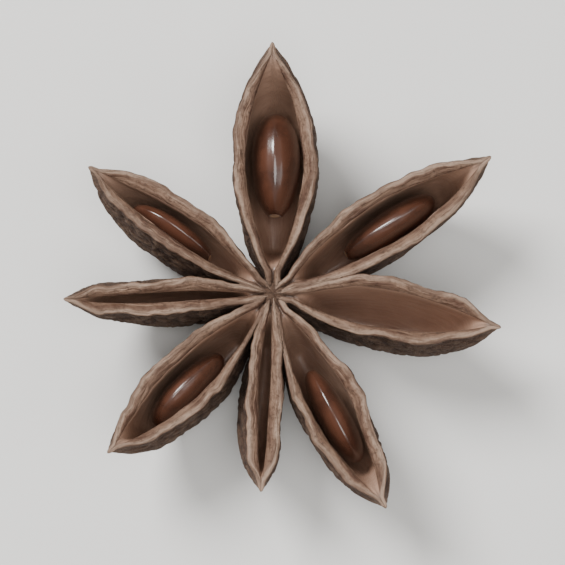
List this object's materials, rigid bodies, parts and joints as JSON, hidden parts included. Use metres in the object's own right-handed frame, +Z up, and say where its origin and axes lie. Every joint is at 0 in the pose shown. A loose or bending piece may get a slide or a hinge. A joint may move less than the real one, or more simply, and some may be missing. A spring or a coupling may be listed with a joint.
{
  "type": "star anise pod",
  "caption": "Dried star anise pod lying mouth up: boat-shaped follicles round a short column, split along their seams, with glossy seeds inside.",
  "frame": {"origin": "centre of the flat end of the broken stalk, on the plane that the pod rests on", "axes": "+Z up along the pod's column, out of the follicles' mouths; +Y close to the widest open follicle"},
  "size_m": [0.0241, 0.0262, 0.0076],
  "materials": {
    "husk": "dry, matt, finely wrinkled brown husk with paler, smoother lips and a satin orange-brown lining",
    "seed": "hard, glossy, chestnut brown seed coat"
  },
  "bodies": {
    "root": {"husk": "husk", "seed_1": "seed", "seed_2": "seed", "seed_3": "seed", "seed_4": "seed", "seed_5": "seed"}
  },
  "joints": []
}
